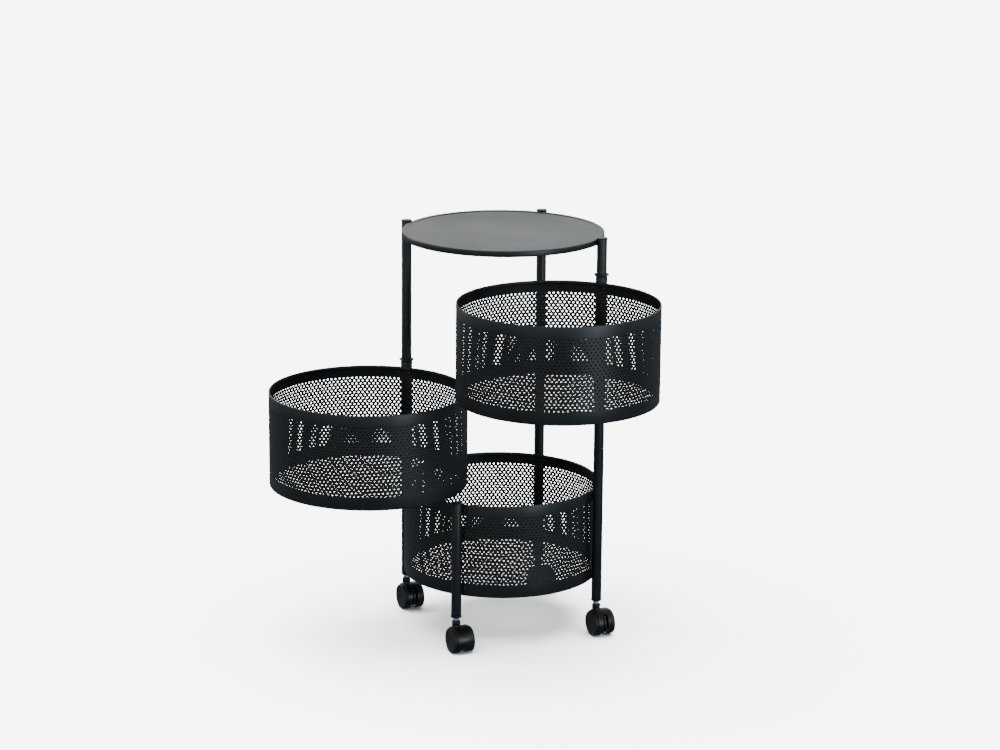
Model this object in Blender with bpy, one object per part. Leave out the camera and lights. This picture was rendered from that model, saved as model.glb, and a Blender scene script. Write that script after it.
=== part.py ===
"""Rolling storage rack: a round top tray on tube posts, three round baskets, the upper two of which swing
out about a post, and four twin-wheel casters. Metres, +Z up, floor at z = 0, at rest with the upper baskets
swung forward (towards -Y)."""

import math

import bmesh
import bpy
from mathutils import Matrix, Vector

# overall layout
post_circle = 0.155  # radius of the circle that the four posts stand on
gap = 0.0003  # clearance between pieces that touch
basket_radius = 0.1453
basket_height = 0.140
low_bottom = 0.0797
basket_pitch = 0.159  # height from one basket to the next
top_swing = math.radians(-92.4)  # direction from the right post to the top basket's centre
middle_swing = math.radians(-87.2)  # direction from the left post to the middle basket's centre

# facets around each kind of round piece
round_steps = 64
tube_steps = 24
small_steps = 16
rivet_steps = 8
plate_steps = 6
smooth_angle = math.radians(40)  # facets that meet at less than this are shaded as one surface
weld_distance = 1e-6

# tray
tray_radius = 0.149
tray_top = 0.600
tray_skirt = 0.0085
tray_sheet = 0.0012
tray_recess = 0.001
tray_border = 0.007  # width of the raised flat border
tray_edge = 0.001

# posts and their end pieces
tube_radius = 0.0075
tube_inner = 0.0063
tube_bottom = 0.0512
tube_top = 0.6003
front_tube_top = 0.2228
cap_radius = 0.0082
cap_height = 0.0019
cap_side = 0.001
cap_round = 0.0009
plug_length = 0.012
socket_flange = 0.0016
socket_chamfer = 0.0006
socket_length = 0.036
socket_bore = 0.0042

# baskets
wall_sheet = 0.0011
hem_width = 0.002
hem_height = 0.004
hem_slope = 0.001
lip_width = 0.003
lip_sheet = 0.0012
floor_sheet = 0.0012

# riveted plates that hold the baskets
plate_width = 0.024
plate_height = 0.012
plate_sheet = 0.0015
rivet_offset = 0.0085  # either side of the post's centre line
rivet_radius = 0.0015
rivet_head = 0.0023
rivet_head_height = 0.001
rivet_round = 0.0009
rivet_sink = 0.0002  # how far the outer head sinks into the plate
rivet_hole = 0.00185
rivet_levels = {"lower": 0.0112, "upper": 0.1308}

# pivots of the two swinging baskets
sleeve_bore = 0.0078
sleeve_radius = 0.0086
sleeve_above = 0.007  # how far the sleeve stands above the basket's rim
sleeve_below = 0.003
sleeve_chamfer = 0.0005
collar_radius = 0.011
collar_hub = 0.0084
collar_height = 0.0038
collar_hub_height = 0.0018
collar_slope = 0.0008

# casters
trail = 0.0145  # wheel axle behind the swivel axis
trail_turn = math.radians(-43)  # direction the wheels trail in
wheel_radius = 0.019
wheel_inner = 0.0044  # inner face from the caster's middle
wheel_outer = 0.0162
wheel_edge = 0.0009
axle_radius = 0.0015
axle_half = 0.0127
hood_radius = 0.021
hood_recess = 0.0195
hood_half = 0.0122
web_half = 0.004
hood_bottom = 0.0105
hood_steps = 36
recess_steps = 40
boss_radius = 0.0062
boss_bottom = 0.0232
boss_top = 0.0435
boss_phase = 0.05  # keeps its facets off those of the drum
pin_radius = 0.0025
pin_bottom = 0.026
stem_collar = 0.0045
stem_collar_top = 0.0466
stem_chamfer = 0.0005
stem_neck = 0.0032
stem_radius = 0.0039
stem_top = 0.083

# brake levers of the left and right casters, measured backward and up from the axle's centre
slot_half = 0.0041
slot_inner = 0.0087
slot_outer = 0.030
slot_bottom = -0.020
slot_top = 0.0155
lever_half = 0.0028
lever_barrel = 0.0023
lever_radius = 0.0165  # of the barrel's centre, and of the lever's inner face
lever_outer = 0.0195
lever_angle = math.radians(46)
lever_start = math.radians(40)
lever_end = math.radians(-25)
lever_steps = 8
tab_half = 0.0028
tab_length = 0.0062
tab_height = 0.003
tab_drop = 0.003
tab_bevel = 0.001

post_angles = {
    "left": math.pi,
    "back": math.pi / 2,
    "right": 0.0,
    "front": math.radians(-92.4),
}
braked = ("left", "right")

for old in list(bpy.data.objects):
    bpy.data.objects.remove(old, do_unlink=True)


def material(name, colour, roughness, metallic=0.0):
    made = bpy.data.materials.new(name)
    made.use_nodes = True
    shader = made.node_tree.nodes["Principled BSDF"]
    shader.inputs["Base Color"].default_value = (*colour, 1)
    shader.inputs["Roughness"].default_value = roughness
    shader.inputs["Metallic"].default_value = metallic
    return made


black_coat = material("black_powder_coat", (0.022, 0.024, 0.025), 0.45)
end_plastic = material("end_plastic", (0.02, 0.02, 0.02), 0.45)
caster_plastic = material("caster_plastic", (0.024, 0.024, 0.025), 0.38)
zinc = material("zinc_plate", (0.62, 0.65, 0.68), 0.3, 1.0)


def shift(x, y=0.0, z=0.0):
    return Matrix.Translation((x, y, z))


def turn(angle, axis="Z"):
    return Matrix.Rotation(angle, 4, axis)


def put(piece, parent, where=Matrix()):
    """Places a piece at `where` in its parent's space."""
    piece.parent = parent
    piece.matrix_local = where


def add_empty(name, parent, where):
    made = bpy.data.objects.new(name, None)
    bpy.context.scene.collection.objects.link(made)
    put(made, parent, where)
    return made


def add_object(name, mesh, surface):
    bmesh.ops.recalc_face_normals(mesh, faces=mesh.faces[:])
    data = bpy.data.meshes.new(name)
    mesh.to_mesh(data)
    mesh.free()
    data.materials.append(surface)
    made = bpy.data.objects.new(name, data)
    bpy.context.scene.collection.objects.link(made)
    return made


def turned(name, outline, steps, surface, phase=0.0):
    """Turns a closed outline of (radius, height) points about Z. Points on the axis close it there."""
    mesh = bmesh.new()
    start = Matrix.Rotation(phase, 3, "Z")
    points = [mesh.verts.new(start @ Vector((r, 0, z))) for r, z in outline]
    edges = []
    for i, (radius, _) in enumerate(outline):
        after = (i + 1) % len(outline)
        if radius > 0 or outline[after][0] > 0:
            edges.append(mesh.edges.new((points[i], points[after])))
    bmesh.ops.spin(
        mesh,
        geom=points + edges,
        cent=(0, 0, 0),
        axis=(0, 0, 1),
        angle=math.tau,
        steps=steps,
        use_merge=True,
    )
    bmesh.ops.remove_doubles(mesh, verts=mesh.verts[:], dist=weld_distance)
    return add_object(name, mesh, surface)


def disc(name, radius, low, high, steps, surface, phase=0.0):
    outline = [(0, low), (radius, low), (radius, high), (0, high)]
    return turned(name, outline, steps, surface, phase)


def prism(name, outline, low, high, surface):
    """Raises a flat outline of (x, y) points from z = low to z = high."""
    mesh = bmesh.new()
    base = mesh.faces.new([mesh.verts.new((x, y, low)) for x, y in outline])
    raised = bmesh.ops.extrude_face_region(mesh, geom=[base])["geom"]
    corners = [item for item in raised if isinstance(item, bmesh.types.BMVert)]
    bmesh.ops.translate(mesh, verts=corners, vec=(0, 0, high - low))
    return add_object(name, mesh, surface)


def arc(radius, start, end, steps):
    angles = [start + (end - start) * i / steps for i in range(steps + 1)]
    return [(radius * math.cos(angle), radius * math.sin(angle)) for angle in angles]


def combine(piece, tool, operation, where):
    """Joins a tool to a piece or cuts it out, at `where` in the piece's own space. The tool is used up."""
    tool.matrix_world = where
    step = piece.modifiers.new(tool.name, "BOOLEAN")
    step.operation = operation
    step.solver = "EXACT"
    step.object = tool
    shaped = piece.evaluated_get(bpy.context.evaluated_depsgraph_get())
    piece.data = bpy.data.meshes.new_from_object(shaped)
    piece.modifiers.clear()
    bpy.data.objects.remove(tool, do_unlink=True)


def join(piece, tool, where=Matrix()):
    combine(piece, tool, "UNION", where)


def cut(piece, tool, where=Matrix()):
    combine(piece, tool, "DIFFERENCE", where)


# the origin is on the floor, under the middle of the rack's outer box
left_end = -post_circle + post_circle * math.cos(middle_swing) - basket_radius
right_end = post_circle + post_circle * math.cos(top_swing) + basket_radius
front_end = post_circle * math.sin(top_swing) - basket_radius
back_axle = post_circle + trail * math.sin(trail_turn)
back_end = back_axle + wheel_outer * math.cos(trail_turn) - wheel_radius * math.sin(trail_turn)
middle = add_empty("rack_axis", None, shift(-(left_end + right_end) / 2, -(front_end + back_end) / 2))
post_axes = {}
for side, angle in post_angles.items():
    foot = shift(post_circle * math.cos(angle), post_circle * math.sin(angle))
    post_axes[side] = add_empty(f"post_axis_{side}", middle, foot)


# posts, each with a cap in the top end and a socket for the caster's stem in the bottom end
def tube_end(name):
    return front_tube_top if name == "front" else tube_top


def add_post(name, axis):
    top = tube_end(name)
    outline = [
        (tube_inner, tube_bottom),
        (tube_radius, tube_bottom),
        (tube_radius, top),
        (tube_inner, top),
    ]
    put(turned(f"post_{name}", outline, tube_steps, black_coat), axis)


def add_cap(name, axis):
    seat = tube_end(name) + gap
    plug = tube_inner - gap
    outline = [
        (0, seat - plug_length),
        (plug, seat - plug_length),
        (plug, seat),
        (cap_radius, seat),
        (cap_radius, seat + cap_side),
        (cap_radius - cap_round, seat + cap_height),
        (0, seat + cap_height),
    ]
    put(turned(f"cap_{name}", outline, small_steps, end_plastic), axis)


def add_socket(name, axis):
    seat = tube_bottom - gap
    plug = tube_inner - gap
    outline = [
        (socket_bore, seat - socket_flange),
        (cap_radius - socket_chamfer, seat - socket_flange),
        (cap_radius, seat - socket_flange + socket_chamfer),
        (cap_radius, seat),
        (plug, seat),
        (plug, seat + socket_length),
        (socket_bore, seat + socket_length),
    ]
    put(turned(f"socket_{name}", outline, small_steps, end_plastic), axis)


# tray: a pressed sheet with a raised border and a turned-down skirt, notched for the three tall posts
def add_tray():
    panel = tray_radius - tray_border
    inside = tray_radius - tray_sheet
    under = tray_top - tray_sheet
    outline = [
        (0, tray_top - tray_recess),
        (panel - tray_recess, tray_top - tray_recess),
        (panel, tray_top),
        (tray_radius - tray_edge, tray_top),
        (tray_radius, tray_top - tray_edge),
        (tray_radius, tray_top - tray_skirt),
        (inside, tray_top - tray_skirt),
        (inside, under),
        (panel, under),
        (panel - tray_recess, under - tray_recess),
        (0, under - tray_recess),
    ]
    tray = turned("top_tray", outline, round_steps, black_coat)
    low = tray_top - 2 * tray_skirt
    high = tray_top + tray_skirt
    for name in ("left", "back", "right"):
        notch = disc("tray_notch", tube_radius + gap, low, high, tube_steps, black_coat)
        cut(tray, notch, turn(post_angles[name]) @ shift(post_circle))
    put(tray, middle)


# baskets, each drawn about its own centre, with z = 0 at the bottom and the side at a post facing +X
def rivet_places(level, angle=0.0):
    """Where a rivet drawn along Z goes out through the wall on each side of a post."""
    lean = math.asin(rivet_offset / basket_radius)
    outward = shift(basket_radius, 0, level) @ turn(math.pi / 2, "Y")
    return [turn(angle + side * lean) @ outward for side in (-1, 1)]


def basket_wall(name, anchors):
    """A rolled sheet with a doubled rim and a lip under the floor, holed for rivets at each anchor."""
    inner = basket_radius - wall_sheet
    hem = basket_radius - hem_width
    outline = [
        (basket_radius, 0),
        (basket_radius, basket_height),
        (hem, basket_height),
        (hem, basket_height - hem_height),
        (inner, basket_height - hem_height - hem_slope),
        (inner, lip_sheet),
        (inner - lip_width, lip_sheet),
        (inner - lip_width, 0),
    ]
    wall = turned(f"basket_wall_{name}", outline, round_steps, black_coat)
    reach = 3 * wall_sheet
    for angle in anchors:
        for level in rivet_levels.values():
            for where in rivet_places(level, angle):
                cut(wall, disc("rivet_hole", rivet_hole, -reach, reach, rivet_steps, black_coat), where)
    return wall


def basket_floor(name):
    low = lip_sheet + gap
    edge = basket_radius - wall_sheet - gap
    return disc(f"basket_floor_{name}", edge, low, low + floor_sheet, round_steps, black_coat)


def rivet():
    """A rivet along Z, with z = 0 at the wall's outer face, one head in the basket and one on the plate."""
    inside = -wall_sheet - gap
    outside = gap + plate_sheet - rivet_sink
    outline = [
        (0, inside - rivet_head_height),
        (rivet_head - rivet_round, inside - rivet_head_height),
        (rivet_head, inside),
        (rivet_radius, inside),
        (rivet_radius, outside),
        (rivet_head, outside),
        (rivet_head - rivet_round, outside + rivet_head_height),
        (0, outside + rivet_head_height),
    ]
    return turned("rivet", outline, rivet_steps, black_coat)


def wall_plate(name, level):
    """A short strip, curved to lie on the outside of the wall at +X."""
    half = math.asin(plate_width / 2 / basket_radius)
    inner = basket_radius + gap
    outline = arc(inner, -half, half, plate_steps) + arc(inner + plate_sheet, half, -half, plate_steps)
    return prism(name, outline, level - plate_height / 2, level + plate_height / 2, black_coat)


def add_fixed_basket():
    bottom = shift(0, 0, low_bottom)
    put(basket_wall("low", list(post_angles.values())), middle, bottom)
    put(basket_floor("low"), middle, bottom)
    for post, angle in post_angles.items():
        for end, level in rivet_levels.items():
            bracket = wall_plate(f"bracket_{post}_{end}", level)
            for where in rivet_places(level):
                join(bracket, rivet(), where)
            put(bracket, middle, bottom @ turn(angle))


def pivot_sleeve(name, basket):
    """A tube that turns on the post, with an ear riveted to the basket near each end of it."""
    low = -sleeve_below
    high = basket_height + sleeve_above
    outline = [
        (sleeve_bore, low),
        (sleeve_radius - sleeve_chamfer, low),
        (sleeve_radius, low + 2 * sleeve_chamfer),
        (sleeve_radius, high - 2 * sleeve_chamfer),
        (sleeve_radius - sleeve_chamfer, high),
        (sleeve_bore, high),
    ]
    sleeve = turned(f"pivot_sleeve_{name}", outline, tube_steps, black_coat)
    for level in rivet_levels.values():
        join(sleeve, wall_plate("ear", level), basket)
        for where in rivet_places(level):
            join(sleeve, rivet(), basket @ where)
    return sleeve


def collar(name, up):
    """A flanged ring fixed to the post. z = 0 is the end that faces the sleeve, and up is 1 or -1."""
    bore = tube_radius + gap
    outline = [
        (bore, 0),
        (collar_hub, 0),
        (collar_hub, collar_hub_height),
        (collar_radius, collar_hub_height + collar_slope),
        (collar_radius, collar_height - collar_slope),
        (collar_hub, collar_height),
        (bore, collar_height),
    ]
    return turned(name, [(r, up * z) for r, z in outline], tube_steps, black_coat)


def add_swinging_basket(name, axis, bottom, swing):
    """A basket riveted to a sleeve that turns on a post between two collars."""
    pivot = add_empty(f"pivot_{name}", axis, shift(0, 0, bottom) @ turn(swing))
    basket = shift(post_circle) @ turn(math.pi)
    put(basket_wall(name, [0.0]), pivot, basket)
    put(basket_floor(name), pivot, basket)
    put(pivot_sleeve(name, basket), pivot)
    sleeve_top = bottom + basket_height + sleeve_above
    put(collar(f"collar_{name}_upper", 1), axis, shift(0, 0, sleeve_top + gap))
    put(collar(f"collar_{name}_lower", -1), axis, shift(0, 0, bottom - sleeve_below - gap))


# casters, with the swivel axis on Z, the wheels trailing towards +X and the axle along Y
axle_place = shift(trail, 0, wheel_radius) @ turn(-math.pi / 2, "X")
side_place = shift(trail, 0, wheel_radius) @ turn(math.pi / 2, "X")
barrel_place = shift(lever_radius * math.cos(lever_angle), lever_radius * math.sin(lever_angle))


def caster_hood(name):
    """A drum-shaped cover with a central web, a stem boss, two wheel recesses and an open bottom."""
    hood = disc(f"caster_hood_{name}", hood_radius, -hood_half, hood_half, hood_steps, caster_plastic)
    hood.data.transform(axle_place)
    join(hood, disc("boss", boss_radius, boss_bottom, boss_top, tube_steps, caster_plastic, boss_phase))
    for outer in (-2 * hood_half, 2 * hood_half):
        inner = math.copysign(web_half, outer)
        cut(hood, disc("recess", hood_recess, inner, outer, recess_steps, caster_plastic), axle_place)
    reach = 3 * hood_radius
    square = [(-reach, -reach), (reach, -reach), (reach, reach), (-reach, reach)]
    cut(hood, prism("below", square, -reach, hood_bottom, caster_plastic))
    pin_bore = pin_radius + gap
    cut(hood, disc("stem_bore", pin_bore, pin_bottom - gap, 2 * boss_top, small_steps, caster_plastic))
    bore = disc("axle_bore", axle_radius + gap, -hood_half, hood_half, small_steps, caster_plastic)
    cut(hood, bore, axle_place)
    if name in braked:
        outline = [
            (slot_inner, slot_bottom),
            (slot_outer, slot_bottom),
            (slot_outer, slot_top),
            (slot_inner, slot_top),
        ]
        cut(hood, prism("slot", outline, -slot_half, slot_half, caster_plastic), side_place)
    return hood


def wheel(name, side):
    """A wheel with a blind bore for the axle, turned so that one facet of its tread lies on the floor."""
    rim = wheel_radius / math.cos(math.pi / tube_steps)
    bore = axle_radius + gap
    outline = [
        (0, axle_half + gap),
        (bore, axle_half + gap),
        (bore, wheel_inner),
        (rim - wheel_edge, wheel_inner),
        (rim, wheel_inner + wheel_edge),
        (rim, wheel_outer - wheel_edge),
        (rim - wheel_edge, wheel_outer),
        (0, wheel_outer),
    ]
    facing = [(r, side * z) for r, z in outline]
    return turned(name, facing, tube_steps, caster_plastic, math.pi / tube_steps)


def brake_lever(name):
    """A curved lever with a finger tab, drawn about the barrel at its upper end, which it turns on."""
    axle = barrel_place.inverted()
    inner_face = arc(lever_radius, lever_start, lever_end, lever_steps)
    outer_face = arc(lever_outer, lever_end, lever_start, lever_steps)
    lever = prism(f"brake_lever_{name}", inner_face + outer_face, -lever_half, lever_half, caster_plastic)
    lever.data.transform(axle)
    barrel = disc("barrel", lever_barrel, -lever_half, lever_half, small_steps, caster_plastic, boss_phase)
    join(lever, barrel)
    inner = lever_outer - tab_height / 2
    outer = lever_outer + tab_length
    low = -tab_drop - tab_height
    tab = [
        (inner, low),
        (outer - tab_bevel, low),
        (outer, low + tab_bevel),
        (outer, -tab_drop - tab_bevel),
        (outer - tab_bevel, -tab_drop),
        (inner, -tab_drop),
    ]
    join(lever, prism("tab", tab, -tab_half, tab_half, caster_plastic), axle)
    return lever


def stem(name):
    """A steel stem: a pin in the hood, a collar and neck above it, and a shank in the socket."""
    seat = boss_top + gap
    outline = [
        (0, pin_bottom),
        (pin_radius, pin_bottom),
        (pin_radius, seat),
        (stem_collar - stem_chamfer, seat),
        (stem_collar, seat + stem_chamfer),
        (stem_collar, stem_collar_top - stem_chamfer),
        (stem_collar - stem_chamfer, stem_collar_top),
        (stem_neck, stem_collar_top),
        (stem_neck, tube_bottom),
        (stem_radius, tube_bottom + stem_chamfer),
        (stem_radius, stem_top),
        (0, stem_top),
    ]
    return turned(f"stem_{name}", outline, small_steps, zinc)


def add_caster(name, axis):
    swivel = add_empty(f"swivel_{name}", axis, turn(trail_turn))
    put(stem(name), axis)
    put(caster_hood(name), swivel)
    put(disc(f"axle_{name}", axle_radius, -axle_half, axle_half, small_steps, zinc), swivel, axle_place)
    put(wheel(f"wheel_{name}_near", -1), swivel, axle_place)
    put(wheel(f"wheel_{name}_far", 1), swivel, axle_place)
    if name in braked:
        put(brake_lever(name), swivel, side_place @ barrel_place)


add_tray()
add_fixed_basket()
add_swinging_basket("middle", post_axes["left"], low_bottom + basket_pitch, middle_swing)
add_swinging_basket("top", post_axes["right"], low_bottom + 2 * basket_pitch, top_swing)
for side, post_axis in post_axes.items():
    add_post(side, post_axis)
    add_cap(side, post_axis)
    add_socket(side, post_axis)
    add_caster(side, post_axis)
for piece in bpy.data.objects:
    if piece.type == "MESH":
        piece.data.shade_smooth()
        piece.data.set_sharp_from_angle(angle=smooth_angle)
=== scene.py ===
import math
import bmesh
import bpy
from mathutils import Matrix, Vector


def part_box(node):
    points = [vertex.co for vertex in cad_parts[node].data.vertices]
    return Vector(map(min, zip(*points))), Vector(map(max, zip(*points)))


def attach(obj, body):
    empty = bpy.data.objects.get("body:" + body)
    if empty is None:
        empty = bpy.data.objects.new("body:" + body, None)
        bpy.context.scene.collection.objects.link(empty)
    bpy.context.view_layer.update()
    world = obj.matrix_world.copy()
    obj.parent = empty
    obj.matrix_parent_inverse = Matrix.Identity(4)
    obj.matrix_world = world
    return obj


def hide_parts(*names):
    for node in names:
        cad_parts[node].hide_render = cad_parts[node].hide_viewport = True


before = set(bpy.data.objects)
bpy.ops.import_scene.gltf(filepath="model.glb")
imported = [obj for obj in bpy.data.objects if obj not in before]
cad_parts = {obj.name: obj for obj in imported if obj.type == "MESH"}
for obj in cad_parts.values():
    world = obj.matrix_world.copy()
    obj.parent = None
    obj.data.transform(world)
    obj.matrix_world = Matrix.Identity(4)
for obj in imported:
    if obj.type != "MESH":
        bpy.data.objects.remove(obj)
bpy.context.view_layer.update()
print("rack frame loaded")


def centreOf(node):
    low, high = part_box(node)
    return (low + high) / 2


def footOf(node):  # the upright axis through a round node
    centre = centreOf(node)
    return Vector((centre.x, centre.y, 0))


sides = ("left", "back", "right", "front")
postAxis = {side: footOf("post_" + side) for side in sides}
rackAxis = footOf("basket_floor_low")


def node(tree, kind, **values):
    made = tree.nodes.new(kind)
    for key, value in values.items():
        if key in made.inputs:
            made.inputs[key].default_value = value
        else:
            setattr(made, key, value)
    return made


noise = {
    "low": 0.3,  # what a noise seldom goes under or over
    "high": 0.7,
    "cloudDetail": 3.0,
    "cloudRoughness": 0.55,
    "grainDetail": 2.0,
    "grainRoughness": 0.6,
    "ringDistortion": 0.6,
}
refraction = 1.5


def rangeOf(tree, source, low, high, fromLow=noise["low"], fromHigh=noise["high"]):  # stretches a value
    spread = node(tree, "ShaderNodeMapRange")
    spread.inputs["From Min"].default_value = fromLow
    spread.inputs["From Max"].default_value = fromHigh
    spread.inputs["To Min"].default_value = low
    spread.inputs["To Max"].default_value = high
    tree.links.new(source, spread.inputs["Value"])
    return spread.outputs["Result"]


def finish(name, look):
    made = bpy.data.materials.new(name)
    made.use_nodes = True
    tree = made.node_tree
    shader = tree.nodes["Principled BSDF"]
    shader.inputs["Metallic"].default_value = look.get("metallic", 0.0)
    shader.inputs["IOR"].default_value = refraction
    shader.inputs["Specular IOR Level"].default_value = look.get("specular", 0.5)
    place = node(tree, "ShaderNodeTexCoord").outputs["Object"]
    cloud = node(tree, "ShaderNodeTexNoise", Scale=look["cloud"])
    cloud.inputs["Detail"].default_value = noise["cloudDetail"]
    cloud.inputs["Roughness"].default_value = noise["cloudRoughness"]
    grain = node(tree, "ShaderNodeTexNoise", Scale=look["grain"])
    grain.inputs["Detail"].default_value = noise["grainDetail"]
    grain.inputs["Roughness"].default_value = noise["grainRoughness"]
    tree.links.new(place, cloud.inputs["Vector"])
    tree.links.new(place, grain.inputs["Vector"])
    tone = node(tree, "ShaderNodeMix", data_type="RGBA")
    tone.inputs[6].default_value = (*look["tones"][0], 1)
    tone.inputs[7].default_value = (*look["tones"][1], 1)
    tree.links.new(rangeOf(tree, cloud.outputs["Fac"], 0, 1), tone.inputs[0])
    speck = node(tree, "ShaderNodeMix", data_type="RGBA", blend_type="MULTIPLY")
    speck.inputs[0].default_value = 1.0
    tree.links.new(tone.outputs[2], speck.inputs[6])
    dark, light = 1 - look["speck"], 1 + look["speck"]
    tree.links.new(rangeOf(tree, grain.outputs["Fac"], dark, light), speck.inputs[7])
    tree.links.new(speck.outputs[2], shader.inputs["Base Color"])
    rough = node(tree, "ShaderNodeMath", operation="ADD")
    tree.links.new(rangeOf(tree, cloud.outputs["Fac"], *look["roughness"]), rough.inputs[0])
    tree.links.new(rangeOf(tree, grain.outputs["Fac"], -look["grit"], look["grit"]), rough.inputs[1])
    tree.links.new(rough.outputs[0], shader.inputs["Roughness"])
    height = grain.outputs["Fac"]
    if "turning" in look:  # fine rings left by the lathe
        rings = node(tree, "ShaderNodeTexWave", Scale=look["turning"], bands_direction="Z")
        rings.inputs["Distortion"].default_value = noise["ringDistortion"]
        tree.links.new(place, rings.inputs["Vector"])
        both = node(tree, "ShaderNodeMath", operation="ADD")
        tree.links.new(rings.outputs["Fac"], both.inputs[0])
        tree.links.new(height, both.inputs[1])
        height = both.outputs[0]
    bump = node(tree, "ShaderNodeBump", Strength=look["bump"], Distance=look["relief"])
    tree.links.new(height, bump.inputs["Height"])
    tree.links.new(bump.outputs["Normal"], shader.inputs["Normal"])
    return made


coatLook = {
    "tones": ((0.0040, 0.0054, 0.0070), (0.0062, 0.0080, 0.0100)),
    "roughness": (0.36, 0.46),
    "cloud": 16.0,
    "grain": 900.0,  # the fine texture of the powder
    "speck": 0.10,
    "grit": 0.03,
    "bump": 0.10,
    "relief": 0.0003,
}
trayLook = {**coatLook, "roughness": (0.34, 0.42), "cloud": 9.0, "bump": 0.14}
plasticLook = {
    "tones": ((0.0034, 0.0042, 0.0052), (0.0052, 0.0062, 0.0074)),
    "roughness": (0.30, 0.40),
    "specular": 0.38,
    "cloud": 60.0,
    "grain": 1500.0,
    "speck": 0.12,
    "grit": 0.04,
    "bump": 0.12,
    "relief": 0.0003,
}
treadLook = {
    **plasticLook,
    "tones": ((0.0050, 0.0056, 0.0062), (0.0080, 0.0086, 0.0092)),
    "roughness": (0.42, 0.55),
}
zincLook = {
    "tones": ((0.34, 0.44, 0.56), (0.52, 0.60, 0.68)),
    "metallic": 1.0,
    "roughness": (0.20, 0.34),
    "cloud": 120.0,
    "grain": 2400.0,
    "speck": 0.08,
    "grit": 0.05,
    "turning": 600.0,
    "bump": 0.10,
    "relief": 0.0002,
}
coat = finish("satin_powder_coat", coatLook)
trayCoat = finish("tray_powder_coat", trayLook)
endPlastic = finish("post_end_plastic", plasticLook)
casterPlastic = finish("caster_plastic_satin", plasticLook)
treadPlastic = finish("wheel_tread_plastic", treadLook)
zinc = finish("bright_zinc", zincLook)
print("finishes made")


weld = 1e-6  # points nearer than this are one
sheetWeld = 2e-5
planeSlack = 1e-5
smoothBelow = math.radians(32)
cornerSegments = 3


def shift(x, y=0.0, z=0.0):
    return Matrix.Translation((x, y, z))


def turn(angle, axis="Z"):
    return Matrix.Rotation(angle, 4, axis)


def vertsOf(items):
    return [item for item in items if isinstance(item, bmesh.types.BMVert)]


def soften(mesh, corners, size, segments=cornerSegments):
    bmesh.ops.bevel(
        mesh,
        geom=corners,
        offset=size,
        offset_type="OFFSET",
        segments=segments,
        profile=0.5,
        affect="VERTICES",
        material=-1,
    )


def spun(outline, steps, closed=True):
    # points are radius, height and, where a corner is rounded, how much
    mesh = bmesh.new()
    points = [mesh.verts.new((r, 0, z)) for r, z, *_ in outline]
    pairs = list(zip(points, points[1:] + points[:1]))
    for a, b in pairs if closed else pairs[:-1]:
        if a.co.x > 0 or b.co.x > 0:
            mesh.edges.new((a, b))
    for size in sorted({item[2] for item in outline if len(item) > 2}):
        corners = [point for point, item in zip(points, outline) if len(item) > 2 and item[2] == size]
        soften(mesh, corners, size)
    bmesh.ops.spin(
        mesh,
        geom=mesh.verts[:] + mesh.edges[:],
        cent=(0, 0, 0),
        axis=(0, 0, 1),
        angle=math.tau,
        steps=steps,
        use_merge=True,
    )
    return mesh


def lathe(outline, steps, place=Matrix()):
    mesh = spun(outline, steps)
    bmesh.ops.remove_doubles(mesh, verts=mesh.verts[:], dist=weld)
    bmesh.ops.transform(mesh, matrix=place, verts=mesh.verts[:])
    return mesh


def addTo(mesh, other):  # puts one bmesh into another
    carried = bpy.data.meshes.new("carried")
    other.to_mesh(carried)
    other.free()
    mesh.from_mesh(carried)
    bpy.data.meshes.remove(carried)
    return mesh


def prism(outline, low, high, place=Matrix()):
    mesh = bmesh.new()
    base = mesh.faces.new([mesh.verts.new((x, y, low)) for x, y in outline])
    raised = bmesh.ops.extrude_face_region(mesh, geom=[base])["geom"]
    bmesh.ops.translate(mesh, verts=vertsOf(raised), vec=(0, 0, high - low))
    bmesh.ops.recalc_face_normals(mesh, faces=mesh.faces[:])
    bmesh.ops.transform(mesh, matrix=place, verts=mesh.verts[:])
    return mesh


def objectOf(name, mesh, recalc=True):
    if recalc:
        bmesh.ops.recalc_face_normals(mesh, faces=mesh.faces[:])
    data = bpy.data.meshes.new(name)
    mesh.to_mesh(data)
    mesh.free()
    made = bpy.data.objects.new(name, data)
    bpy.context.scene.collection.objects.link(made)
    return made


def piece(name, mesh, surface, body, replaced=(), recalc=True):
    made = objectOf(name, mesh, recalc)
    made.data.materials.append(surface)
    made.data.shade_smooth()
    made.data.set_sharp_from_angle(angle=smoothBelow)
    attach(made, body)
    if replaced:
        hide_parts(*replaced)
    return made


def carve(start, tools):  # tools are pairs of a Boolean's operation and its bmesh
    body = objectOf("helper", start)
    for operation, mesh in tools:
        tool = objectOf("helper", mesh)
        step = body.modifiers.new("carve", "BOOLEAN")
        step.operation = operation
        step.solver = "EXACT"
        step.object = tool
        shaped = body.evaluated_get(bpy.context.evaluated_depsgraph_get())
        body.data = bpy.data.meshes.new_from_object(shaped)
        body.modifiers.clear()
        bpy.data.objects.remove(tool, do_unlink=True)
    mesh = bmesh.new()
    mesh.from_mesh(body.data)
    bpy.data.objects.remove(body, do_unlink=True)
    return mesh


def arc(radius, start, end, steps):
    angles = [start + (end - start) * i / steps for i in range(steps + 1)]
    return [(radius * math.cos(angle), radius * math.sin(angle)) for angle in angles]


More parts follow.
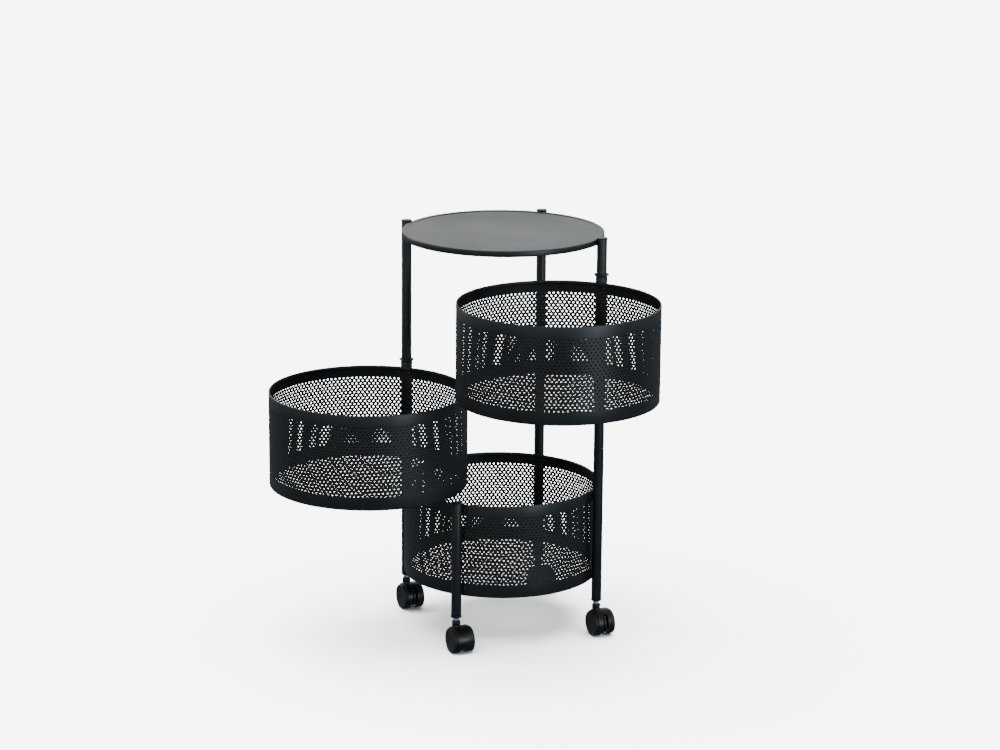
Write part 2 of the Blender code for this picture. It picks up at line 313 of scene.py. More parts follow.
perforation = {
    "around": 142,  # holes in one row of the wall
    "rows": 23,
    "rowPitch": 0.00455,
    "topBand": 0.0189,  # from the rim to the middle of the first row
    "hole": 0.00140,  # radius
    "corners": 10,  # of one hole
}
sheet = {
    "radius": 0.1453,
    "thick": 0.0007,
    "hem": 0.0021,
    "hemHeight": 0.0048,
    "edge": 0.0008,
    "lip": 0.0030,
    "lipThick": 0.00119,
    "footRound": 0.00128,
    "floorEdge": 0.1438,
    "floorHole": 0.00185,
    "floorThick": 0.0004,
    "floorPitch": 0.0064,
    "floorMargin": 0.0045,
    "floorColumns": 64,  # powers of two, enough to cover the floor
    "floorPairs": 64,
    "floorSteps": 160,
    "brink": 0.00222,  # lines of the holed part's border are longer, a hole's are shorter
}


def holedCell(width, height, hole):  # a flat oblong with a round hole, and points halfway along two sides
    mesh = bmesh.new()
    across, up = width / 2, height / 2
    outline = [(-across, -up), (0, -up), (across, -up), (across, up), (0, up), (-across, up)]
    points = [mesh.verts.new((x, y, 0)) for x, y in outline]
    for i, point in enumerate(points):
        mesh.edges.new((point, points[(i + 1) % len(points)]))
    bmesh.ops.create_circle(mesh, cap_ends=False, segments=perforation["corners"], radius=hole)
    bmesh.ops.triangle_fill(mesh, use_beauty=True, edges=mesh.edges[:])
    return mesh


def repeat(mesh, copies, stepBy):  # doubles the mesh until there are enough copies along stepBy
    made = 1
    while made < copies:
        geom = mesh.verts[:] + mesh.edges[:] + mesh.faces[:]
        twin = bmesh.ops.duplicate(mesh, geom=geom)["geom"]
        bmesh.ops.translate(mesh, verts=vertsOf(twin), vec=Vector(stepBy) * made)
        made *= 2


def basketWall(name, cadNode, body):
    low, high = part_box(cadNode)
    tall = high.z - low.z
    radius, pitch, rows = sheet["radius"], perforation["rowPitch"], perforation["rows"]
    count = perforation["around"]
    width = math.tau * radius / count
    firstRow = tall - perforation["topBand"]
    strip = bmesh.new()
    for row in range(rows):
        cell = holedCell(width, pitch, perforation["hole"])
        bmesh.ops.translate(cell, verts=cell.verts[:], vec=(row % 2 * width / 2, firstRow - row * pitch, 0))
        addTo(strip, cell)
    for vert in strip.verts:  # roll the flat strip onto the wall
        angle = vert.co.x / radius
        vert.co = (radius * math.cos(angle), radius * math.sin(angle), vert.co.y)
    bmesh.ops.spin(
        strip,
        geom=strip.verts[:] + strip.edges[:] + strip.faces[:],
        cent=(0, 0, 0),
        axis=(0, 0, 1),
        angle=math.tau * (count - 1) / count,
        steps=count - 1,
        use_duplicate=True,
    )
    bmesh.ops.remove_doubles(strip, verts=strip.verts[:], dist=sheetWeld)
    inner = bmesh.ops.extrude_face_region(strip, geom=strip.faces[:])["geom"]
    inside = radius - sheet["thick"]
    inward = inside / radius
    bmesh.ops.scale(strip, vec=(inward, inward, 1), verts=vertsOf(inner))
    top = firstRow + pitch / 2
    bottom = firstRow - (rows - 0.5) * pitch
    ends = [
        face
        for face in strip.faces
        if all(abs(vert.co.z - top) < planeSlack for vert in face.verts)
        or all(abs(vert.co.z - bottom) < planeSlack for vert in face.verts)
    ]
    bmesh.ops.delete(strip, geom=ends, context="FACES_ONLY")
    edge = sheet["edge"]
    rim = [  # up the outside, over the rolled rim and down the inside
        (radius, top),
        (radius, tall, edge),
        (radius - sheet["hem"], tall, edge),
        (radius - sheet["hem"], tall - sheet["hemHeight"], edge / 2),
        (inside, tall - sheet["hemHeight"] - edge, edge / 4),
        (inside, top),
    ]
    foot = [  # down the inside, along the lip under the floor, and back up the outside
        (inside, bottom),
        (inside, sheet["lipThick"]),
        (inside - sheet["lip"], sheet["lipThick"]),
        (inside - sheet["lip"], 0, edge / 4),
        (radius, 0, sheet["footRound"]),
        (radius, bottom),
    ]
    for outline in (rim, foot):
        addTo(strip, spun(outline, 2 * count, closed=False))
    bmesh.ops.remove_doubles(strip, verts=strip.verts[:], dist=sheetWeld)
    centre = centreOf(cadNode)
    bmesh.ops.translate(strip, verts=strip.verts[:], vec=(centre.x, centre.y, low.z))
    return piece(name, strip, coat, body, [cadNode])


def basketFloor(name, cadNode, body, heading):
    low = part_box(cadNode)[0]
    radius, wide, pitch = sheet["floorEdge"], sheet["floorPitch"], perforation["rowPitch"]
    mesh = holedCell(wide, pitch, sheet["floorHole"])
    other = holedCell(wide, pitch, sheet["floorHole"])
    bmesh.ops.translate(other, verts=other.verts[:], vec=(wide / 2, pitch, 0))
    addTo(mesh, other)
    columns, pairs = sheet["floorColumns"], sheet["floorPairs"]
    repeat(mesh, columns, (wide, 0, 0))
    repeat(mesh, pairs, (0, 2 * pitch, 0))
    startX, startY = -wide * columns / 2, -pitch * pairs
    bmesh.ops.translate(mesh, verts=mesh.verts[:], vec=(startX, startY, 0))
    beyond = []
    limit = radius - sheet["floorMargin"]
    for face in mesh.faces:
        x, y, _ = face.calc_center_median()
        row = round((y - startY) / pitch)
        lean = row % 2 * wide / 2
        column = round((x - startX - lean) / wide)
        cx, cy = startX + lean + column * wide, startY + row * pitch
        if math.hypot(cx, cy) > limit:
            beyond.append(face)
    bmesh.ops.delete(mesh, geom=beyond, context="FACES")
    bmesh.ops.remove_doubles(mesh, verts=mesh.verts[:], dist=sheetWeld)
    brink = []
    for line in mesh.edges:
        if len(line.link_faces) == 1 and line.calc_length() > sheet["brink"]:
            brink.append(line)
    segments = sheet["floorSteps"]
    circle = bmesh.ops.create_circle(mesh, cap_ends=False, segments=segments, radius=radius)["verts"]
    brink += list({line for vert in circle for line in vert.link_edges})
    bmesh.ops.triangle_fill(mesh, use_beauty=True, edges=brink)
    raised = bmesh.ops.extrude_face_region(mesh, geom=mesh.faces[:])["geom"]
    bmesh.ops.translate(mesh, verts=vertsOf(raised), vec=(0, 0, sheet["floorThick"]))
    centre = centreOf(cadNode)
    bmesh.ops.transform(mesh, matrix=shift(centre.x, centre.y, low.z) @ turn(heading), verts=mesh.verts[:])
    return piece(name, mesh, coat, body, [cadNode])


baskets = {  # the body that each one is on, and how far its floor's pattern is turned
    "low": ("stand", 0.2),
    "middle": ("middle_basket", 0.6),
    "top": ("top_basket", 0.35),
}
for level, (body, heading) in baskets.items():
    wall = basketWall("perforated_wall_" + level, "basket_wall_" + level, body)
    bottom = basketFloor("perforated_floor_" + level, "basket_floor_" + level, body, heading)
    print(level, "basket:", len(wall.data.polygons), "and", len(bottom.data.polygons), "faces")

tray = {
    "radius": 0.149,
    "sheet": 0.0012,
    "skirt": 0.0085,
    "border": 0.0066,  # the raised flat rim
    "dish": 0.0010,  # how far the panel lies below it
    "slope": 0.0016,
    "edge": 0.0012,
    "slopeRound": 0.0012,
    "borderRound": 0.0010,
    "skirtRound": 0.0004,
    "innerRound": 0.0008,
    "underRound": 0.0006,
    "notch": 0.0077,
    "notchSteps": 48,
    "steps": 192,
}


def trayPanel():
    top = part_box("top_tray")[1].z
    radius, thick, dish = tray["radius"], tray["sheet"], tray["dish"]
    panel = radius - tray["border"]
    inside = radius - thick
    outline = [
        (0, top - dish),
        (panel - tray["slope"], top - dish, tray["slopeRound"]),
        (panel, top, tray["borderRound"]),
        (radius, top, tray["edge"]),
        (radius, top - tray["skirt"], tray["skirtRound"]),
        (inside, top - tray["skirt"], tray["skirtRound"]),
        (inside, top - thick, tray["innerRound"]),
        (panel, top - thick, tray["underRound"]),
        (panel - tray["slope"], top - dish - thick, tray["underRound"]),
        (0, top - dish - thick),
    ]
    notches = []
    for side in ("left", "back", "right"):
        away = postAxis[side] - rackAxis
        low, high = top - 2 * tray["skirt"], top + tray["skirt"]
        cutter = [(0, low), (tray["notch"], low), (tray["notch"], high), (0, high)]
        notches.append(("DIFFERENCE", lathe(cutter, tray["notchSteps"], shift(away.x, away.y))))
    mesh = carve(lathe(outline, tray["steps"]), notches)
    bmesh.ops.translate(mesh, verts=mesh.verts[:], vec=rackAxis)
    return piece("tray_panel", mesh, trayCoat, "stand", ["top_tray"], recalc=False)


trayPanel()
print("tray made")

post = {
    "radius": 0.0075,
    "inner": 0.0063,
    "steps": 56,
    "lip": 0.0003,
    "cap": 0.0082,
    "capRound": 0.0010,
    "capLip": 0.0003,
    "capDome": 0.0003,
    "plug": 0.0060,
    "bore": 0.0042,  # for the caster's stem
    "seatGap": 0.0001,
    "seatRound": 0.0002,
    "footRound": 0.0006,
}


def postPieces(side):
    low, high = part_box("post_" + side)
    axis = shift(*postAxis[side])
    outline = [
        (post["inner"], low.z),
        (post["radius"], low.z, post["lip"]),
        (post["radius"], high.z, post["lip"]),
        (post["inner"], high.z),
    ]
    piece("tube_" + side, lathe(outline, post["steps"], axis), coat, "stand", ["post_" + side])
    capLow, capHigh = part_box("cap_" + side)
    seat = high.z + post["seatGap"]
    outline = [
        (0, capLow.z),
        (post["plug"], capLow.z),
        (post["plug"], seat),
        (post["cap"], seat, post["capLip"]),
        (post["cap"], capHigh.z - post["capDome"], post["capRound"]),
        (0, capHigh.z),
    ]
    mesh = lathe(outline, post["steps"], axis)
    piece("end_cap_" + side, mesh, endPlastic, "stand", ["cap_" + side])
    footLow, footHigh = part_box("socket_" + side)
    bore = post["bore"]
    seat = low.z - post["seatGap"]
    outline = [
        (bore, footLow.z),
        (post["cap"], footLow.z, post["footRound"]),
        (post["cap"], seat, post["seatRound"]),
        (post["plug"], seat),
        (post["plug"], footHigh.z),
        (bore, footHigh.z),
    ]
    mesh = lathe(outline, post["steps"], axis)
    piece("foot_socket_" + side, mesh, endPlastic, "stand", ["socket_" + side])


for side in sides:
    postPieces(side)
print("posts made")

plate = {
    "width": 0.024,
    "height": 0.012,
    "thick": 0.0015,
    "corner": 0.0022,
    "cornerSegments": 4,
    "bends": 5,  # facets on each side of the middle
    "gap": 0.0002,
    "rivetApart": 0.0085,
    "rivetShank": 0.0014,
    "rivetHead": 0.0024,
    "rivetRise": 0.0011,
    "rivetSteps": 24,
    "rivetDome": ((0, 1), (0.55, 0.86), (0.87, 0.5), (1, 0)),  # shares of the head's radius and its rise
    "rivetSink": 0.0001,
    "lower": 0.0112,
    "upper": 0.1308,
}
pivot = {
    "bore": 0.0077,
    "radius": 0.0086,
    "chamfer": 0.0006,
    "collar": 0.0110,
    "hub": 0.0084,
    "hubHeight": 0.0010,
    "hubRound": 0.0003,
    "slope": 0.0004,
    "collarRound": 0.0005,
    "endRound": 0.0004,
    "steps": 56,
}


def curvedPlate(level):  # lies on the wall at +X of the basket's centre
    mesh = bmesh.new()
    across, up = plate["width"] / 2, plate["height"] / 2
    corners = ((-across, -up), (across, -up), (across, up), (-across, up))
    points = [mesh.verts.new((x, y, 0)) for x, y in corners]
    mesh.faces.new(points)
    soften(mesh, points, plate["corner"], plate["cornerSegments"])
    bends = plate["bends"]
    for step in range(1 - bends, bends):
        geom = mesh.verts[:] + mesh.edges[:] + mesh.faces[:]
        bmesh.ops.bisect_plane(mesh, geom=geom, plane_co=(step * across / bends, 0, 0), plane_no=(1, 0, 0))
    raised = bmesh.ops.extrude_face_region(mesh, geom=mesh.faces[:])["geom"]
    bmesh.ops.translate(mesh, verts=vertsOf(raised), vec=(0, 0, plate["thick"]))
    bmesh.ops.recalc_face_normals(mesh, faces=mesh.faces[:])
    for vert in mesh.verts:  # bend round the wall
        radius = sheet["radius"] + plate["gap"] + vert.co.z
        angle = vert.co.x / sheet["radius"]
        vert.co = (radius * math.cos(angle), radius * math.sin(angle), level + vert.co.y)
    return mesh


def rivet(level, side):
    inside = -sheet["thick"]
    outside = plate["gap"] + plate["thick"] - plate["rivetSink"]
    head, rise, dome = plate["rivetHead"], plate["rivetRise"], plate["rivetDome"]
    outline = [(across * head, inside - up * rise) for across, up in dome]
    outline += [(plate["rivetShank"], inside), (plate["rivetShank"], outside)]
    outline += [(across * head, outside + up * rise) for across, up in reversed(dome)]
    lean = side * math.asin(plate["rivetApart"] / sheet["radius"])
    place = turn(lean) @ shift(sheet["radius"], 0, level) @ turn(math.pi / 2, "Y")
    return lathe(outline, plate["rivetSteps"], place)


def rivetedPlate(level):
    mesh = curvedPlate(level)
    for side in (-1, 1):
        addTo(mesh, rivet(level, side))
    return mesh


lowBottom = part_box("basket_wall_low")[0].z
for side in sides:
    away = postAxis[side] - rackAxis
    facing = turn(math.atan2(away.y, away.x))
    for end in ("lower", "upper"):
        mesh = rivetedPlate(plate[end])
        place = shift(rackAxis.x, rackAxis.y, lowBottom) @ facing
        bmesh.ops.transform(mesh, matrix=place, verts=mesh.verts[:])
        piece(f"riveted_plate_{side}_{end}", mesh, coat, "stand", [f"bracket_{side}_{end}"])

for level, side in (("middle", "left"), ("top", "right")):
    low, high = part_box("pivot_sleeve_" + level)
    basket = footOf("basket_floor_" + level)
    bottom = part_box("basket_wall_" + level)[0].z
    away = postAxis[side] - basket
    outline = [
        (pivot["bore"], low.z),
        (pivot["radius"], low.z, pivot["chamfer"]),
        (pivot["radius"], high.z, pivot["chamfer"]),
        (pivot["bore"], high.z),
    ]
    mesh = lathe(outline, pivot["steps"], shift(*postAxis[side]))
    for end in ("lower", "upper"):
        ears = rivetedPlate(plate[end])
        place = shift(basket.x, basket.y, bottom) @ turn(math.atan2(away.y, away.x))
        bmesh.ops.transform(ears, matrix=place, verts=ears.verts[:])
        addTo(mesh, ears)
    piece("swing_sleeve_" + level, mesh, coat, level + "_basket", ["pivot_sleeve_" + level])
    for end, up in (("lower", -1), ("upper", 1)):
        low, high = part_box(f"collar_{level}_{end}")
        start = low.z if up > 0 else high.z
        tall = high.z - low.z
        outline = [
            (pivot["bore"], 0),
            (pivot["hub"], 0, pivot["hubRound"]),
            (pivot["hub"], pivot["hubHeight"], pivot["hubRound"]),
            (pivot["collar"], pivot["hubHeight"] + pivot["slope"], pivot["collarRound"]),
            (pivot["collar"], tall - pivot["slope"], pivot["collarRound"]),
            (pivot["hub"], tall, pivot["endRound"]),
            (pivot["bore"], tall),
        ]
        flipped = [(item[0], up * item[1], *item[2:]) for item in outline]
        mesh = lathe(flipped, pivot["steps"], shift(*postAxis[side][:2], start))
        piece(f"post_collar_{level}_{end}", mesh, coat, "stand", [f"collar_{level}_{end}"])
print("plates and pivots made")

caster = {
    "wheel": 0.0190,
    "inner": 0.0045,
    "outer": 0.0162,
    "tyreRound": 0.0016,
    "face": 0.0160,  # radius of the flat disc in the wheel's face
    "faceSink": 0.0006,
    "faceStep": 0.0005,
    "faceRound": 0.0002,
    "sinkRound": 0.0003,
    "hub": 0.0062,  # the wheel's inner side has a channel between its hub and its rim
    "channelFrom": 0.0072,
    "channelTo": 0.0150,
    "rim": 0.0162,
    "channelDeep": 0.0025,
    "channelRound": 0.0006,
    "hubRound": 0.0004,
    "tyreInnerRound": 0.0009,
    "dimple": 0.0021,
    "dimpleFloor": 0.0018,
    "dimpleDeep": 0.0003,
    "dimpleRound": 0.0001,
    "steps": 72,
    "smallSteps": 24,
    "stemSteps": 40,
    "bossSteps": 48,
    "bossTurn": 0.05,  # small turns keep a Boolean's facets from lining up
    "boreTurn": 0.02,
    "hoodRound": 0.0009,
    "bossRound": 0.0008,
    "hood": 0.0210,
    "recess": 0.0195,
    "recessSteps": 76,
    "half": 0.0122,
    "web": 0.0040,
    "bottom": 0.0105,
    "boss": 0.0062,
    "bossBottom": 0.0232,
    "axle": 0.0015,
    "axleHalf": 0.0127,
    "axleRound": 0.0002,
    "axleClear": 0.0002,
    "axleEndClear": 0.0003,
    "pin": 0.0025,
    "pinClear": 0.0002,
    "stemCollar": 0.0045,
    "stemCollarDrop": 0.0037,
    "stemCollarRound": (0.0005, 0.0006),  # below and above
    "stemSeat": 0.0002,
    "stemNeck": 0.0032,
    "neckStep": 0.0002,
    "neckRound": 0.0001,
    "shankStep": 0.0006,
    "shank": 0.0039,
}
lever = {
    "half": 0.0024,
    "armHalf": 0.0012,
    "barrel": 0.0022,
    "inner": 0.0166,
    "outer": 0.0192,
    "padStart": math.radians(-2),
    "padTip": 0.01,  # radians short of the arm's end
    "padInset": 0.0003,
    "padRise": 0.0006,
    "bandSteps": 16,
    "padSteps": 8,
    "barrelSteps": 32,
    "angle": math.radians(46),
    "start": math.radians(40),
    "end": math.radians(-25),
    "tabHalf": 0.0026,
    "tabLength": 0.0062,
    "tabHeight": 0.0030,
    "tabDrop": 0.0030,
    "tabRound": 0.0011,
    "slotHalf": 0.0041,
    "slotInner": 0.0087,
    "slotOuter": 0.030,
    "slotBottom": -0.020,
    "slotTop": 0.0155,
}


def wheelMesh(side):
    inner, outer = side * caster["inner"], side * caster["outer"]
    sink = outer - side * caster["faceSink"]
    bore = caster["axle"] + caster["axleClear"]
    stop = side * (caster["axleHalf"] + caster["axleEndClear"])
    channel = inner + side * caster["channelDeep"]
    dimple = sink - side * caster["dimpleDeep"]
    outline = [
        (0, stop),
        (bore, stop),
        (bore, inner),
        (caster["hub"], inner, caster["hubRound"]),
        (caster["channelFrom"], channel, caster["channelRound"]),
        (caster["channelTo"], channel, caster["channelRound"]),
        (caster["rim"], inner, caster["hubRound"]),
        (caster["wheel"], inner, caster["tyreInnerRound"]),
        (caster["wheel"], outer, caster["tyreRound"]),
        (caster["face"] + caster["faceStep"], outer, caster["faceRound"]),
        (caster["face"], sink, caster["sinkRound"]),
        (caster["dimple"], sink, caster["faceRound"]),
        (caster["dimpleFloor"], dimple, caster["dimpleRound"]),
        (0, dimple),
    ]
    return lathe(outline, caster["steps"])


def hoodMesh(side, withSlot, axleAt, sideAt, top):
    outline = [
        (0, -caster["half"]),
        (caster["hood"], -caster["half"], caster["hoodRound"]),
        (caster["hood"], caster["half"], caster["hoodRound"]),
        (0, caster["half"]),
    ]
    drum = lathe(outline, caster["steps"], axleAt)
    boss = caster["boss"]
    outline = [(0, caster["bossBottom"]), (boss, caster["bossBottom"])]
    outline += [(boss, top, caster["bossRound"]), (0, top)]
    tools = [("UNION", lathe(outline, caster["bossSteps"], turn(caster["bossTurn"])))]
    foot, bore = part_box("stem_" + side)[0].z - caster["pinClear"], caster["pin"] + caster["pinClear"]
    outline = [(0, foot), (bore, foot), (bore, 2 * top), (0, 2 * top)]
    tools.append(("DIFFERENCE", lathe(outline, caster["stemSteps"], turn(caster["boreTurn"]))))
    for facing in (-1, 1):
        near, far = facing * caster["web"], facing * 2 * caster["half"]
        recess = [(0, near), (caster["recess"], near), (caster["recess"], far), (0, far)]
        tools.append(("DIFFERENCE", lathe(recess, caster["recessSteps"], axleAt)))
    reach = 3 * caster["hood"]
    square = [(-reach, -reach), (reach, -reach), (reach, reach), (-reach, reach)]
    tools.append(("DIFFERENCE", prism(square, -reach, caster["bottom"])))
    if withSlot:
        left, right = lever["slotInner"], lever["slotOuter"]
        low, high = lever["slotBottom"], lever["slotTop"]
        oblong = [(left, low), (right, low), (right, high), (left, high)]
        tools.append(("DIFFERENCE", prism(oblong, -lever["slotHalf"], lever["slotHalf"], sideAt)))
    return carve(drum, tools)


def leverMesh(sideAt):
    inner, outer = lever["inner"], lever["outer"]
    start, end, steps = lever["start"], lever["end"], lever["bandSteps"]
    band = arc(inner, start, end, steps) + arc(outer, end, start, steps)
    arm = prism(band, -lever["armHalf"], lever["armHalf"], sideAt)
    start, end, steps = lever["padStart"], lever["end"] - lever["padTip"], lever["padSteps"]
    band = arc(inner + lever["padInset"], start, end, steps)
    band += arc(outer + lever["padRise"], end, start, steps)
    pad = prism(band, -lever["half"], lever["half"], sideAt)
    barrelAt = sideAt @ shift(inner * math.cos(lever["angle"]), inner * math.sin(lever["angle"]))
    end, radius = lever["half"], lever["barrel"]
    outline = [(0, -end), (radius, -end), (radius, end), (0, end)]
    barrel = lathe(outline, lever["barrelSteps"], barrelAt @ turn(caster["bossTurn"]))
    left, right = outer - lever["tabHeight"] / 2, outer + lever["tabLength"]
    low, high = -lever["tabDrop"] - lever["tabHeight"], -lever["tabDrop"]
    bend = lever["tabRound"]
    tab = [
        (left, low),
        (right - bend, low),
        (right, low + bend),
        (right, high - bend),
        (right - bend, high),
        (left, high),
    ]
    tab = prism(tab, -lever["tabHalf"], lever["tabHalf"], sideAt)
    return carve(arm, [("UNION", pad), ("UNION", barrel), ("UNION", tab)])


spring = {
    "turns": 3.5,
    "ring": 16,  # steps in one turn
    "wire": 0.00032,
    "wireSides": 8,
    "radius": 0.0014,
    "across": 0.0150,
    "up": -0.0114,
    "pitch": 2.1,  # rise of one turn, in radii of the wire
}


def springMesh(sideAt):  # the small coil that holds the lever
    turns, ring, wire, sides = spring["turns"], spring["ring"], spring["wire"], spring["wireSides"]
    pitch = spring["pitch"] * wire
    mesh = bmesh.new()
    bmesh.ops.create_circle(mesh, cap_ends=False, segments=sides, radius=wire)
    upright = shift(spring["radius"], 0, 0) @ turn(math.pi / 2, "X")
    bmesh.ops.transform(mesh, matrix=upright, verts=mesh.verts[:])
    bmesh.ops.spin(
        mesh,
        geom=mesh.verts[:] + mesh.edges[:],
        cent=(0, 0, 0),
        axis=(0, 0, 1),
        dvec=(0, 0, pitch / ring),
        angle=math.tau * turns,
        steps=int(turns * ring),
    )
    bmesh.ops.holes_fill(mesh, edges=mesh.edges[:], sides=sides)
    place = sideAt @ shift(spring["across"], spring["up"], -pitch * turns / 2)
    bmesh.ops.transform(mesh, matrix=place, verts=mesh.verts[:])
    return mesh


def casterPieces(side):
    axis = postAxis[side]
    centre = centreOf("axle_" + side)
    away = Vector((centre.x, centre.y, 0)) - axis
    base = shift(axis.x, axis.y) @ turn(math.atan2(away.y, away.x))
    axleAt = shift(away.length, 0, centre.z) @ turn(-math.pi / 2, "X")
    sideAt = shift(away.length, 0, centre.z) @ turn(math.pi / 2, "X")
    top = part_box("caster_hood_" + side)[1].z
    body = "caster_" + side
    braked = "brake_lever_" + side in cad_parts
    mesh = hoodMesh(side, braked, axleAt, sideAt, top)
    bmesh.ops.transform(mesh, matrix=base, verts=mesh.verts[:])
    piece("hood_" + side, mesh, casterPlastic, body, ["caster_hood_" + side], recalc=False)
    end = caster["axleHalf"]
    radius, corner = caster["axle"], caster["axleRound"]
    outline = [(0, -end), (radius, -end, corner), (radius, end, corner), (0, end)]
    mesh = lathe(outline, caster["smallSteps"], base @ axleAt)
    piece("axle_pin_" + side, mesh, zinc, body, ["axle_" + side])
    for name, facing in (("near", -1), ("far", 1)):
        mesh = wheelMesh(facing)
        bmesh.ops.transform(mesh, matrix=base @ axleAt, verts=mesh.verts[:])
        wheel = f"wheel_{side}_{name}"
        piece("twin_" + wheel, mesh, treadPlastic, wheel, [wheel])
    if braked:
        mesh = leverMesh(sideAt)
        bmesh.ops.transform(mesh, matrix=base, verts=mesh.verts[:])
        brake = "brake_lever_" + side
        piece("foot_" + brake, mesh, casterPlastic, brake, [brake], recalc=False)
        mesh = springMesh(sideAt)
        bmesh.ops.transform(mesh, matrix=base, verts=mesh.verts[:])
        piece("brake_spring_" + side, mesh, zinc, body)
    low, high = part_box("stem_" + side)
    seat = top + caster["stemSeat"]
    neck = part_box("post_" + side)[0].z
    collarTop = neck - caster["stemCollarDrop"]
    lowRound, highRound = caster["stemCollarRound"]
    outline = [
        (0, low.z),
        (caster["pin"], low.z),
        (caster["pin"], seat),
        (caster["stemCollar"], seat, lowRound),
        (caster["stemCollar"], collarTop, highRound),
        (caster["stemNeck"], collarTop + caster["neckStep"], caster["neckRound"]),
        (caster["stemNeck"], neck),
        (caster["shank"], neck + caster["shankStep"]),
        (caster["shank"], high.z),
        (0, high.z),
    ]
    mesh = lathe(outline, caster["stemSteps"], shift(*axis))
    piece("stem_pin_" + side, mesh, zinc, "stand", ["stem_" + side])


for side in sides:
    casterPieces(side)
print("casters made")

studio = {
    "floorSize": 60.0,
    "floorSteps": 96,
    "domeSteps": (48, 24),
    "floorColour": (0.86, 0.86, 0.86),
    "floorLight": 25.0,
    "floorSoftness": math.radians(80),
    "floorLean": (math.radians(4), math.radians(-6), 0),
    "backdrop": 7.0,
    "sky": 1.68,
    "skyTones": (  # height of the direction from -1 to 1, and the colour there
        (-1.0, (0.050, 0.057, 0.066)),
        (-0.34, (0.075, 0.088, 0.105)),
        (-0.14, (0.10, 0.115, 0.13)),
        (0.03, (0.17, 0.185, 0.20)),
        (0.18, (0.95, 0.99, 1.0)),
        (0.44, (0.95, 0.99, 1.0)),
        (0.60, (0.30, 0.32, 0.34)),
        (1.0, (0.20, 0.21, 0.23)),
    ),
}
stageGroup = bpy.data.collections.new("stage")
bpy.context.scene.collection.children.link(stageGroup)


def stagePiece(name, mesh, surface):
    data = bpy.data.meshes.new(name)
    mesh.to_mesh(data)
    mesh.free()
    data.materials.append(surface)
    made = bpy.data.objects.new(name, data)
    stageGroup.objects.link(made)
    made.visible_diffuse = False
    made.visible_glossy = False
    return made


floorSurface = bpy.data.materials.new("pale_floor")
floorSurface.use_nodes = True
floorShader = floorSurface.node_tree.nodes["Principled BSDF"]
floorShader.inputs["Base Color"].default_value = (*studio["floorColour"], 1)
floorShader.inputs["Roughness"].default_value = 1.0
floorShader.inputs["Specular IOR Level"].default_value = 0.0
mesh = bmesh.new()
bmesh.ops.create_circle(mesh, cap_ends=True, segments=studio["floorSteps"], radius=studio["floorSize"])
floorPiece = stagePiece("studio_floor", mesh, floorSurface)

backSurface = bpy.data.materials.new("pale_backdrop")
backSurface.use_nodes = True
backTree = backSurface.node_tree
backTree.nodes.remove(backTree.nodes["Principled BSDF"])
glow = node(backTree, "ShaderNodeEmission", Color=(1, 1, 1, 1), Strength=studio["backdrop"])
backTree.links.new(glow.outputs[0], backTree.nodes["Material Output"].inputs["Surface"])
mesh = bmesh.new()
around, upward = studio["domeSteps"]
bmesh.ops.create_uvsphere(mesh, u_segments=around, v_segments=upward, radius=studio["floorSize"])
backPiece = stagePiece("studio_backdrop", mesh, backSurface)
backPiece.visible_shadow = False

world = bpy.data.worlds.new("studio")
bpy.context.scene.world = world
world.use_nodes = True
tree = world.node_tree
direction = node(tree, "ShaderNodeTexCoord").outputs["Generated"]
split = node(tree, "ShaderNodeSeparateXYZ")
tree.links.new(direction, split.inputs[0])
ramp = node(tree, "ShaderNodeValToRGB")
tree.links.new(rangeOf(tree, split.outputs["Z"], 0, 1, -1, 1), ramp.inputs[0])
stops = ramp.color_ramp.elements
stops[0].color = (*studio["skyTones"][0][1], 1)
stops[1].color = (*studio["skyTones"][-1][1], 1)
for height, colour in studio["skyTones"][1:-1]:
    stops.new((height + 1) / 2).color = (*colour, 1)
tree.links.new(ramp.outputs["Color"], tree.nodes["Background"].inputs["Color"])
tree.nodes["Background"].inputs["Strength"].default_value = studio["sky"]

sun = bpy.data.lights.new("floor_light", "SUN")
sun.energy = studio["floorLight"]
sun.angle = studio["floorSoftness"]
sunObject = bpy.data.objects.new("floor_light", sun)
bpy.context.scene.collection.objects.link(sunObject)
sunObject.rotation_euler = studio["floorLean"]
sunObject.light_linking.receiver_collection = stageGroup


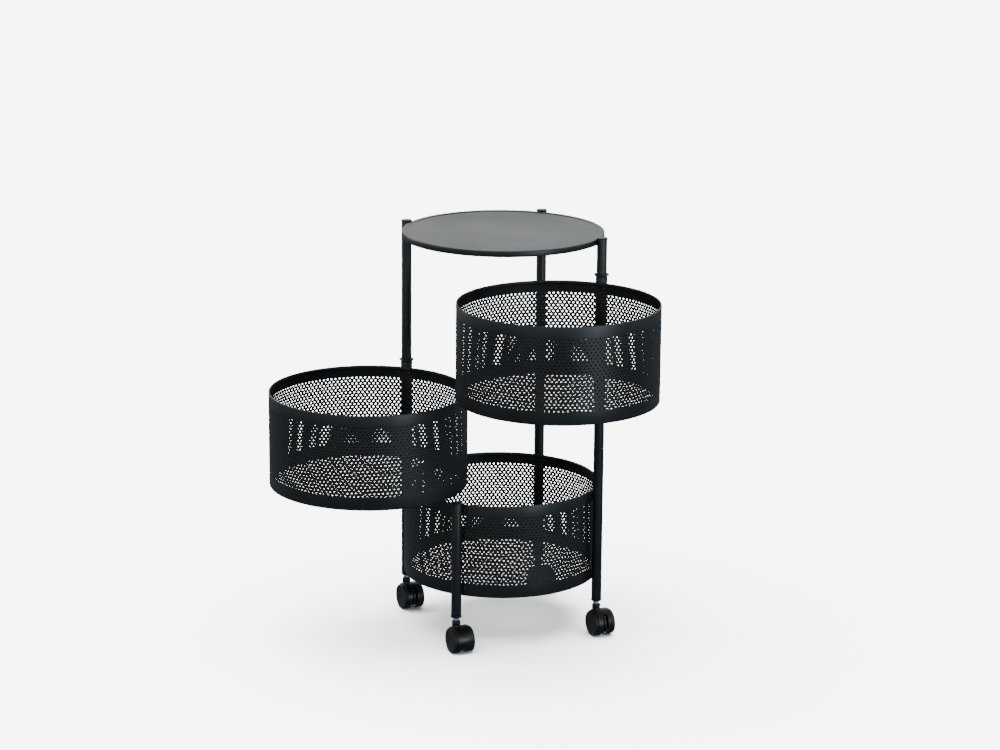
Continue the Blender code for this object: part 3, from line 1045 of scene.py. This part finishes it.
softBoxes = {
    "soft_side": {"place": (2.7, -1.4, 0.5), "size": 1.2, "energy": 20, "colour": (0.78, 0.92, 1.0)},
    "soft_left": {"place": (-2.8, 0.6, 0.9), "size": 1.4, "energy": 6, "colour": (1.0, 1.0, 1.0)},
}
softTarget = Vector((0, 0, 0.3))


def softBox(name, box):  # lights the rack and leaves the floor out
    light = bpy.data.lights.new(name, "AREA")
    light.shape = "DISK"
    light.size = box["size"]
    light.energy = box["energy"]
    light.color = box["colour"]
    made = bpy.data.objects.new(name, light)
    made.location = box["place"]
    made.rotation_mode = "QUATERNION"
    made.rotation_quaternion = (softTarget - Vector(box["place"])).to_track_quat("-Z", "Y")
    bpy.context.scene.collection.objects.link(made)
    group = bpy.data.collections.new(name + "_reach")
    group.objects.link(floorPiece)
    group.collection_objects[0].light_linking.link_state = "EXCLUDE"
    made.light_linking.receiver_collection = group


for name, box in softBoxes.items():
    softBox(name, box)

lens = {
    "azimuth": math.radians(22.1177),
    "elevation": math.radians(14.5889),
    "roll": math.radians(0.4683),
    "sideways": -0.0029,
    "height": 0.3800,
    "distance": 4.5698,
    "focal": 110.731,
    "sensor": 36,
    "reach": 200,
}
a, e, r = lens["azimuth"], lens["elevation"], lens["roll"]
back = Vector((math.sin(a) * math.cos(e), -math.cos(a) * math.cos(e), math.sin(e)))
right = Vector((math.cos(a), math.sin(a), 0))
up = back.cross(right)
aim = rackAxis + right * lens["sideways"] + Vector((0, 0, lens["height"]))
eye = aim + back * lens["distance"]
level = right * math.cos(r) + up * math.sin(r)
upright = up * math.cos(r) - right * math.sin(r)
cameraData = bpy.data.cameras.new("camera")
cameraData.lens = lens["focal"]
cameraData.sensor_width = lens["sensor"]
cameraData.clip_end = lens["reach"]
camera = bpy.data.objects.new("camera", cameraData)
bpy.context.scene.collection.objects.link(camera)
camera.matrix_world = Matrix(
    (
        (level.x, upright.x, back.x, eye.x),
        (level.y, upright.y, back.y, eye.y),
        (level.z, upright.z, back.z, eye.z),
        (0, 0, 0, 1),
    )
)
bpy.context.scene.camera = camera
print("studio made")
